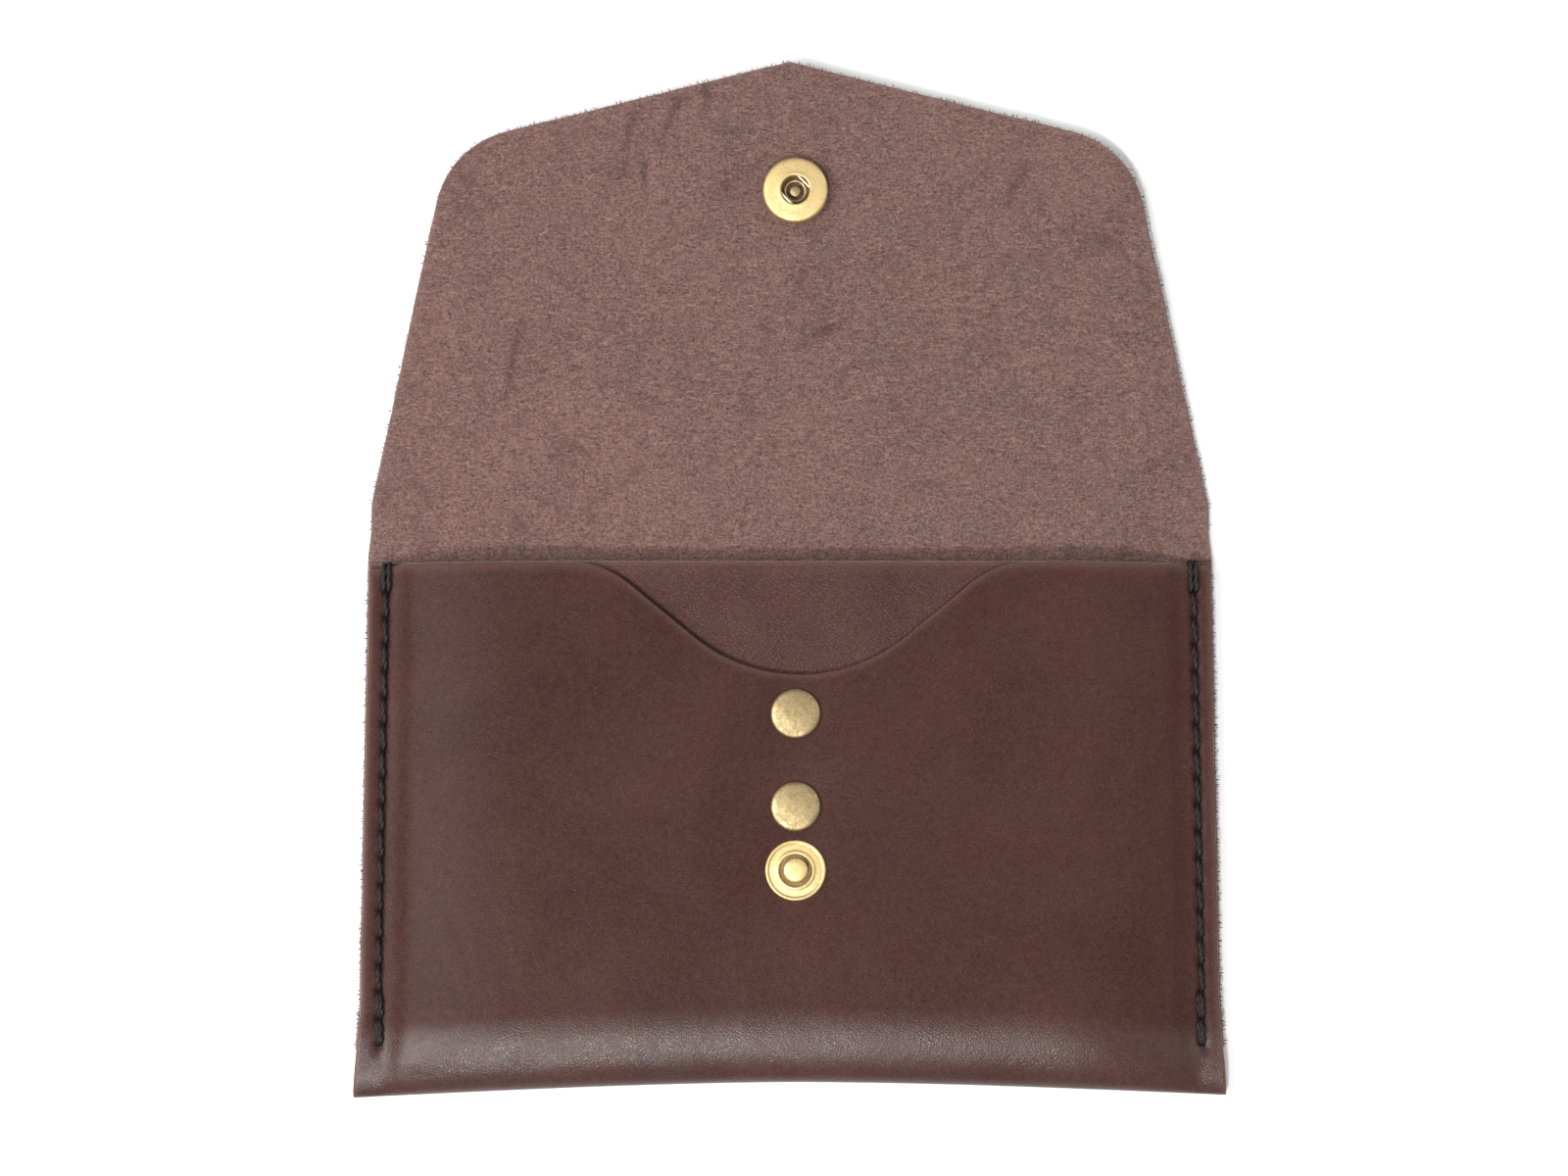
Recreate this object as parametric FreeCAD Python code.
"""Passport holder: one folded strip of leather, a divider, two stitched seams, brass fasteners.

The holder lies on its back with the flap open. +X is to the right, +Y runs towards the point of
the flap and +Z is up from the table. The origin is the middle of the bounding box, on the table.
"""
import FreeCAD, Part
import math
import os

V = FreeCAD.Vector
X_AXIS = V(1, 0, 0)
Z_AXIS = V(0, 0, 1)

# Outline of the pocket, in millimetres
pocket_width = 152.0  # across the mouth
pocket_depth = 93.6  # from the mouth to the rolled bottom, at the middle
corner_drop = 2.4  # the flat ends of the roll reach this much lower than its middle
side_spread = 1.5  # each side stands this much further out at the bottom corner

# Outline of the flap, measured from the mouth
flap_length = 92.4
shoulder_rise = 11.3  # where the sides start to taper
side_taper = 11.9  # degrees from straight
top_slope = 14.0  # degrees, from each corner up to the point
corner_radius = 17.0

# Leather and the spaces between its layers
shell_leather = 1.5
divider_leather = 1.2
layer_gap = 0.1  # between layers that are stitched together
passport_gap = 4.7  # between the back and the divider, at the middle
card_gap = 0.2  # between the divider and the front, at the middle
flat_margin = 5.5  # beside each seam the layers lie flat
rise_width = 9.0  # over which the pocket then swells to its full height
divider_depth = 88.8

# Scoop in the front panel
scoop_depth = 20.2
scoop_wall_angle = 42.0  # degrees
scoop_bottom_radius = 30.0
scoop_shoulder_radius = 17.0

# Stitched side seams
seam_inset = 3.1
stitch_pitch = 4.8
stitch_count = 18
thread_radius = 0.5
thread_clearance = 0.05
thread_sink = 0.4  # how deep the front stitches lie in the leather

# Fold between the pocket and the flap
mouth_clearance = 1.2  # from the mouth to the first fold line
fold_gap = 0.3  # between two stiff lengths of leather at a fold line

# Fasteners, on one line down the front
fastener_line_x = 1.0
rivet_places = {"upper": 27.2, "lower": 43.8}  # below the mouth
snap_place = 55.2  # below the mouth
post_clearance = 0.05

rivet_radius = 4.55
rivet_rim = 0.3
rivet_dome = 1.0
rivet_pin_radius = 0.95
rivet_tube_radius = 1.5
backing_radius = 4.0
backing_thickness = 0.4

stud_flange_radius = 5.45
stud_flange_thickness = 0.45
stud_rim_height = 0.75
stud_ring_radius = 3.3
stud_ring_height = 0.8
stud_neck_radius = 1.8
stud_head_radius = 2.2
stud_height = 2.8
stud_head_height = 0.75  # from the neck to the top of the nub
stud_head_rise = 0.3  # over which the nub widens from its neck
stud_head_crown = 0.1  # over which the nub's top is rounded off
stud_post_radius = 1.3
stud_post_cover = 1.0  # of solid nub above the post

socket_radius = 6.0
socket_edge = 0.3  # bevel of the socket's lower edge
socket_slope = 0.2  # the socket's face falls this much towards its rim
socket_rim_width = 1.3  # of the rounded rim outside that face
socket_floor = 0.3
socket_bore_radius = 2.6
nub_clearance = 0.2  # between the nub and the flared post when the snap is shut
face_clearance = 0.25  # between the stud's rim and the socket's face when the snap is shut
spring_wire_radius = 0.3
spring_offset = 2.25  # of each wire from the middle of the socket
spring_turn = -45.0  # degrees, the direction of the wires
spring_room_radius = 3.6
spring_room_height = 0.7

snap_cap_radius = 6.2
snap_cap_rim = 0.4
snap_cap_height = 1.8
snap_post_radius = 1.4
snap_post_flare = 2.1
snap_post_height = 0.4
table_clearance = 0.02  # under the snap cap, which carries the open flap

# Worked out from the sizes above
half_width = pocket_width / 2
overall_length = flap_length + pocket_depth + corner_drop
mouth_y = overall_length / 2 - flap_length
seam_top = 2 * shell_leather + divider_leather + 2 * layer_gap
centre_top = 2 * shell_leather + divider_leather + passport_gap + card_gap
snap_gap = stud_height + snap_post_height + nub_clearance  # front to flap when the snap is shut
socket_height = snap_gap - stud_rim_height - face_clearance
spring_height = snap_gap - stud_height + stud_head_height + spring_wire_radius
first_fold_y = mouth_y + mouth_clearance
spine_length = centre_top - shell_leather + snap_gap
second_fold_y = first_fold_y + spine_length
snap_reach = mouth_clearance + snap_place  # from the second fold to the socket
flap_rest_angle = math.degrees(math.asin((snap_cap_height + table_clearance) / snap_reach))
thread_hole_radius = thread_radius + thread_clearance
spread_angle = math.degrees(math.atan(side_spread / (pocket_depth + corner_drop)))
OVERSHOOT = 5.0  # how far a cutting shape runs past what it cuts
RISE_STEPS = 6  # sections drawn over the rise beside each seam


def box(x_range, y_range, z_range):
    """A box between two values on each axis."""
    size = [high - low for low, high in (x_range, y_range, z_range)]
    return Part.makeBox(*size, V(x_range[0], y_range[0], z_range[0]))


def rod(radius, start, end):
    """A round rod from one point to another."""
    return Part.makeCylinder(radius, (end - start).Length, start, end - start)


def disc(radius, low, high):
    """A round disc about the Z axis."""
    return rod(radius, V(0, 0, low), V(0, 0, high))


def dome(radius, low, height):
    """A shallow spherical cap about the Z axis, flat side down."""
    ball_radius = (radius**2 + height**2) / (2 * height)
    ball = Part.makeSphere(ball_radius, V(0, 0, low + height - ball_radius))
    return ball.common(disc(radius, low, low + height))


def turned(profile):
    """A solid turned about the Z axis from (radius, height) points."""
    points = [V(radius, 0, height) for radius, height in profile]
    face = Part.Face(Part.makePolygon(points + points[:1]))
    return face.revolve(V(), Z_AXIS, 360)


def joined(shapes):
    """Several touching solids as one."""
    return shapes[0].fuse(shapes[1:]).removeSplitter()


def fullness(x):
    """How far the pocket has swollen: 0 along the seams, 1 over its flat middle."""
    share = (half_width - flat_margin - abs(x)) / rise_width
    share = min(max(share, 0.0), 1.0)
    return share * share * (3 - 2 * share)


def top_height(x):
    """Height of the front panel's outer face."""
    return seam_top + (centre_top - seam_top) * fullness(x)


def bottom_y(x):
    """The lowest line of the roll, which hangs lower where the pocket is flat."""
    return mouth_y - pocket_depth - corner_drop * (1 - fullness(x))


def stations():
    """Places along X where a swollen layer's section is drawn."""
    inner = half_width - flat_margin - rise_width
    rising = [inner + rise_width * step / RISE_STEPS for step in range(RISE_STEPS + 1)]
    right = rising + [half_width + side_spread + OVERSHOOT]
    return [-x for x in reversed(right)] + right


def shell_section(x):
    """The folded strip at one place: back, rolled bottom and front."""
    radius = top_height(x) / 2
    inner = radius - shell_leather
    end_y = bottom_y(x)
    turn_y = end_y + radius
    top = 2 * radius
    back_end = first_fold_y - fold_gap / 2
    outer_start = V(x, turn_y, 0)
    outer_end = V(x, turn_y, top)
    inner_start = V(x, turn_y, top - shell_leather)
    inner_end = V(x, turn_y, shell_leather)
    edges = [
        Part.LineSegment(V(x, back_end, 0), outer_start),
        Part.Arc(outer_start, V(x, end_y, radius), outer_end),
        Part.LineSegment(outer_end, V(x, mouth_y, top)),
        Part.LineSegment(V(x, mouth_y, top), V(x, mouth_y, top - shell_leather)),
        Part.LineSegment(V(x, mouth_y, top - shell_leather), inner_start),
        Part.Arc(inner_start, V(x, turn_y - inner, radius), inner_end),
        Part.LineSegment(inner_end, V(x, back_end, shell_leather)),
        Part.LineSegment(V(x, back_end, shell_leather), V(x, back_end, 0)),
    ]
    return Part.Wire([edge.toShape() for edge in edges])


def divider_section(x):
    """The divider at one place, just behind the front panel."""
    gap = layer_gap + (card_gap - layer_gap) * fullness(x)
    top = top_height(x) - shell_leather - gap
    bottom = top - divider_leather
    low_y = mouth_y - divider_depth
    corners = [V(x, low_y, bottom), V(x, mouth_y, bottom), V(x, mouth_y, top), V(x, low_y, top)]
    return Part.makePolygon(corners + corners[:1])


def layer(section):
    """A layer lofted across the pocket and trimmed to its sides."""
    lofted = Part.makeLoft([section(x) for x in stations()], True, True)
    low_y = mouth_y - pocket_depth - corner_drop
    low_x = half_width + side_spread
    high_y = first_fold_y
    high_x = half_width - side_spread * (high_y - mouth_y) / (mouth_y - low_y)
    corners = [V(-low_x, low_y, 0), V(low_x, low_y, 0), V(high_x, high_y, 0), V(-high_x, high_y, 0)]
    outline = Part.Face(Part.makePolygon(corners + corners[:1]))
    return lofted.common(outline.extrude(V(0, 0, centre_top + OVERSHOOT)))


def scoop():
    """The bell-shaped cut: a round bottom, two straight walls and two rounded shoulders."""
    angle = math.radians(scoop_wall_angle)
    both_radii = scoop_bottom_radius + scoop_shoulder_radius
    wall = (scoop_depth - both_radii * (1 - math.cos(angle))) / math.sin(angle)
    half_scoop = both_radii * math.sin(angle) + wall * math.cos(angle)
    bottom_centre = V(0, mouth_y - scoop_depth + scoop_bottom_radius, 0)
    shoulder_centre = V(half_scoop, mouth_y - scoop_shoulder_radius, 0)

    def on_bottom(turn):
        return bottom_centre + V(math.sin(turn), -math.cos(turn), 0) * scoop_bottom_radius

    def on_shoulder(turn):
        return shoulder_centre + V(-math.sin(turn), math.cos(turn), 0) * scoop_shoulder_radius

    def mirrored(point):
        return V(-point.x, point.y, point.z)

    wall_low = on_bottom(angle)
    wall_high = on_shoulder(angle)
    lip = on_shoulder(0)
    above = lip + V(0, OVERSHOOT, 0)
    edges = [
        Part.Arc(mirrored(wall_low), on_bottom(0), wall_low),
        Part.LineSegment(wall_low, wall_high),
        Part.Arc(wall_high, on_shoulder(angle / 2), lip),
        Part.LineSegment(lip, above),
        Part.LineSegment(above, mirrored(above)),
        Part.LineSegment(mirrored(above), mirrored(lip)),
        Part.Arc(mirrored(lip), mirrored(on_shoulder(angle / 2)), mirrored(wall_high)),
        Part.LineSegment(mirrored(wall_high), mirrored(wall_low)),
    ]
    face = Part.Face(Part.Wire([edge.toShape() for edge in edges]))
    face.translate(V(fastener_line_x, 0, centre_top - shell_leather - card_gap / 2))
    return face.extrude(V(0, 0, shell_leather + OVERSHOOT))


def thread_run(radius):
    """One seam's thread about x = 0: stitches on both faces, and a loop over the mouth edge."""
    front_z = seam_top - thread_sink + thread_radius
    back_z = thread_radius + thread_clearance
    hole_ys = [mouth_y - stitch_pitch * number for number in range(1, stitch_count + 1)]
    loop_y = mouth_y + thread_radius + thread_clearance
    passes = [rod(radius, V(0, y, back_z), V(0, y, front_z)) for y in [loop_y] + hole_ys]
    runs = [rod(radius, V(0, loop_y, z), V(0, hole_ys[-1], z)) for z in (back_z, front_z)]
    turns = [Part.makeSphere(radius, V(0, y, z)) for y in (loop_y, hole_ys[-1]) for z in (back_z, front_z)]
    return joined(runs + passes + turns)


def along_seam(shape, side):
    """A shape made about x = 0, moved onto the left (-1) or right (+1) seam."""
    placed = shape.copy()
    placed.rotate(V(0, mouth_y, 0), Z_AXIS, side * spread_angle)
    placed.translate(V(side * (half_width - seam_inset), 0, 0))
    return placed


def seam_cut():
    """The holes and grooves that one seam's thread lies in, open at the back and at the mouth."""
    last_y = mouth_y - stitch_pitch * stitch_count
    loop_y = mouth_y + thread_hole_radius
    across = (-thread_hole_radius, thread_hole_radius)
    groove = box(across, (last_y, loop_y), (-OVERSHOOT, thread_hole_radius))
    notch = box(across, (loop_y, first_fold_y), (-OVERSHOOT, seam_top + OVERSHOOT))
    return joined([thread_run(thread_hole_radius), groove, notch])


def on_front(shape, below_mouth):
    """A fastener made about the Z axis from z = 0, set on the front panel."""
    placed = shape.copy()
    placed.translate(V(fastener_line_x, mouth_y - below_mouth, centre_top))
    return placed


def on_flap(shape):
    """A fastener made about the Z axis from z = 0, set on the flap's inner face."""
    placed = shape.copy()
    placed.translate(V(fastener_line_x, second_fold_y + snap_reach, shell_leather))
    return laid_open(placed)


def laid_open(shape):
    """The flap's open rest: tipped up about the second fold until the snap cap clears the table."""
    placed = shape.copy()
    placed.rotate(V(0, second_fold_y, shell_leather), X_AXIS, flap_rest_angle)
    return placed


layers_thickness = shell_leather + card_gap + divider_leather  # where the front fasteners go through


def rivet_cap():
    """Domed cap with the pin that is driven into the back's tube."""
    rim = disc(rivet_radius, 0, rivet_rim)
    pin = disc(rivet_pin_radius, -layers_thickness, rivet_rim)
    return joined([rim, dome(rivet_radius, rivet_rim, rivet_dome), pin])


def rivet_back():
    """Flat back with the tube that goes through the leather."""
    base = disc(backing_radius, -layers_thickness - backing_thickness, -layers_thickness)
    tube = disc(rivet_tube_radius, -layers_thickness, -post_clearance)
    bore = disc(rivet_pin_radius + post_clearance, -layers_thickness, OVERSHOOT)
    return joined([base, tube]).cut(bore)


def snap_stud():
    """Flange with a rolled rim and a raised ring, and the necked nub that the socket grips."""
    rim_width = stud_rim_height - stud_flange_thickness
    neck_top = stud_height - stud_head_height
    head_top = stud_height - stud_head_rise
    profile = [
        (0, 0),
        (stud_flange_radius, 0),
        (stud_flange_radius, stud_flange_thickness),
        (stud_flange_radius - rim_width, stud_rim_height),
        (stud_flange_radius - 2 * rim_width, stud_rim_height),
        (stud_flange_radius - 3 * rim_width, stud_flange_thickness),
        (stud_ring_radius + rim_width, stud_flange_thickness),
        (stud_ring_radius, stud_ring_height),
        (stud_ring_radius - rim_width, stud_ring_height),
        (stud_ring_radius - 2 * rim_width, stud_flange_thickness),
        (stud_neck_radius, stud_flange_thickness),
        (stud_neck_radius, neck_top),
        (stud_head_radius, neck_top + stud_head_rise),
        (stud_head_radius, head_top),
        (stud_neck_radius, stud_height - stud_head_crown),
        (stud_neck_radius / 2, stud_height),
        (0, stud_height),
    ]
    bore = disc(stud_post_radius + post_clearance, -OVERSHOOT, stud_height - stud_post_cover)
    return turned(profile).cut(bore)


def snap_stud_post():
    """Disc behind the divider with the post that holds the stud."""
    base = disc(backing_radius, -layers_thickness - backing_thickness, -layers_thickness)
    post = disc(stud_post_radius, -layers_thickness, stud_height - stud_post_cover - post_clearance)
    return joined([base, post])


def snap_socket():
    """Round socket, slightly coned, with a bore for the nub and room for the spring."""
    profile = [
        (snap_post_radius + post_clearance, 0),
        (socket_radius - socket_edge, 0),
        (socket_radius, socket_edge),
        (socket_radius, socket_height / 2),
        (socket_radius - socket_rim_width / 3, socket_height - 3 * socket_slope),
        (socket_radius - socket_rim_width, socket_height - socket_slope),
        (socket_bore_radius, socket_height),
        (socket_bore_radius, socket_floor),
        (snap_post_radius + post_clearance, socket_floor),
    ]
    room_low = spring_height - spring_room_height / 2
    room = disc(spring_room_radius, room_low, room_low + spring_room_height)
    return turned(profile).cut(room)


def snap_socket_spring():
    """Two straight wires across the bore, joined by a bend round its side."""
    bend_radius = spring_room_radius - spring_wire_radius - post_clearance
    half_wire = math.sqrt(bend_radius**2 - spring_offset**2)
    bend_start = math.degrees(math.atan2(-spring_offset, half_wire))
    wires = [
        rod(spring_wire_radius, V(-half_wire, y, 0), V(half_wire, y, 0))
        for y in (-spring_offset, spring_offset)
    ]
    bend = Part.makeTorus(bend_radius, spring_wire_radius, V(), Z_AXIS, 0, 360, -2 * bend_start)
    bend.rotate(V(), Z_AXIS, bend_start)
    ends = [
        Part.makeSphere(spring_wire_radius, V(x, y, 0))
        for x in (-half_wire, half_wire)
        for y in (-spring_offset, spring_offset)
    ]
    spring = joined(wires + [bend] + ends)
    spring.rotate(V(), Z_AXIS, spring_turn)
    spring.translate(V(0, 0, spring_height))
    return spring


def snap_cap():
    """Cap on the flap's outer face, with the post that is flared inside the socket."""
    below = -shell_leather
    rim = disc(snap_cap_radius, below - snap_cap_rim, below)
    crown = dome(snap_cap_radius, 0, snap_cap_height - snap_cap_rim)
    crown.rotate(V(), X_AXIS, 180)
    crown.translate(V(0, 0, below - snap_cap_rim))
    post = disc(snap_post_radius, below, socket_floor)
    flare = disc(snap_post_flare, socket_floor, snap_post_height)
    return joined([rim, crown, post, flare])


def flap_outline():
    """Outline beyond the mouth: straight shoulders, tapered sides, round corners and a point."""
    taper = math.tan(math.radians(side_taper))
    slope = math.tan(math.radians(top_slope))
    corner_x = (half_width + taper * (shoulder_rise - flap_length)) / (1 - taper * slope)
    corner_rise = flap_length - corner_x * slope
    tangent = corner_radius * math.tan(math.radians((90 - side_taper - top_slope) / 2))
    corner = V(corner_x, mouth_y + corner_rise, 0)
    down_side = V(math.sin(math.radians(side_taper)), -math.cos(math.radians(side_taper)), 0)
    up_top = V(-math.cos(math.radians(top_slope)), math.sin(math.radians(top_slope)), 0)
    arc_start = corner + down_side * tangent
    arc_end = corner + up_top * tangent
    bisector = (down_side + up_top).normalize()
    centre_reach = math.hypot(corner_radius, tangent)
    arc_middle = corner + bisector * (centre_reach - corner_radius)

    def mirrored(point):
        return V(-point.x, point.y, point.z)

    base = V(half_width, mouth_y, 0)
    shoulder = V(half_width, mouth_y + shoulder_rise, 0)
    point = V(0, mouth_y + flap_length, 0)
    edges = [
        Part.LineSegment(mirrored(base), base),
        Part.LineSegment(base, shoulder),
        Part.LineSegment(shoulder, arc_start),
        Part.Arc(arc_start, arc_middle, arc_end),
        Part.LineSegment(arc_end, point),
        Part.LineSegment(point, mirrored(arc_end)),
        Part.Arc(mirrored(arc_end), mirrored(arc_middle), mirrored(arc_start)),
        Part.LineSegment(mirrored(arc_start), mirrored(shoulder)),
        Part.LineSegment(mirrored(shoulder), mirrored(base)),
    ]
    face = Part.Face(Part.Wire([edge.toShape() for edge in edges]))
    return face.extrude(V(0, 0, shell_leather))


def strip_between(low_y, high_y):
    """A length of the leather beyond the mouth, lying flat."""
    across = (-half_width - OVERSHOOT, half_width + OVERSHOOT)
    return flap_outline().common(box(across, (low_y, high_y), (0, shell_leather)))


def pierced(shape, radius, places):
    """The front layers with a hole for each fastener."""
    for below_mouth in places:
        hole = on_front(disc(radius + post_clearance, -centre_top, OVERSHOOT), below_mouth)
        keep_back = box(
            (-half_width, half_width),
            (mouth_y - pocket_depth, mouth_y),
            (shell_leather + layer_gap, centre_top + OVERSHOOT),
        )
        shape = shape.cut(hole.common(keep_back))
    return shape


def front_layer(section):
    """A stitched layer with its thread holes and the holes of the fasteners."""
    shape = layer(section)
    for side in (-1, 1):
        shape = shape.cut(along_seam(seam_cut(), side))
    shape = pierced(shape, rivet_tube_radius, rivet_places.values())
    return pierced(shape, stud_post_radius, [snap_place])


flap_hole = on_flap(disc(snap_post_radius + post_clearance, -OVERSHOOT, OVERSHOOT))
flap_leather = laid_open(strip_between(second_fold_y + fold_gap / 2, mouth_y + flap_length))

nodes = {
    "pocket_shell": front_layer(shell_section).cut(scoop()),
    "spine_strip": strip_between(first_fold_y + fold_gap / 2, second_fold_y - fold_gap / 2),
    "flap_panel": flap_leather.cut(flap_hole),
    "card_divider": front_layer(divider_section),
    "left_seam_thread": along_seam(thread_run(thread_radius), -1),
    "right_seam_thread": along_seam(thread_run(thread_radius), 1),
    "snap_stud": on_front(snap_stud(), snap_place),
    "snap_stud_post": on_front(snap_stud_post(), snap_place),
    "snap_socket": on_flap(snap_socket()),
    "snap_socket_spring": on_flap(snap_socket_spring()),
    "snap_cap": on_flap(snap_cap()),
}
for place, below_mouth in rivet_places.items():
    nodes[place + "_rivet_cap"] = on_front(rivet_cap(), below_mouth)
    nodes[place + "_rivet_back"] = on_front(rivet_back(), below_mouth)

os.makedirs("parts", exist_ok=True)
for name, shape in nodes.items():
    shape.exportStep("parts/" + name + ".step")
    extent = shape.BoundBox
    print(
        f"{name}: {len(shape.Solids)} solid, {shape.Volume:.1f} mm3, valid {shape.isValid()},"
        f" x {extent.XMin:.2f} to {extent.XMax:.2f}, y {extent.YMin:.2f} to {extent.YMax:.2f},"
        f" z {extent.ZMin:.2f} to {extent.ZMax:.2f}"
    )
print(f"folds at y {first_fold_y:.3f} and {second_fold_y:.3f}, rest angle {flap_rest_angle:.3f}")
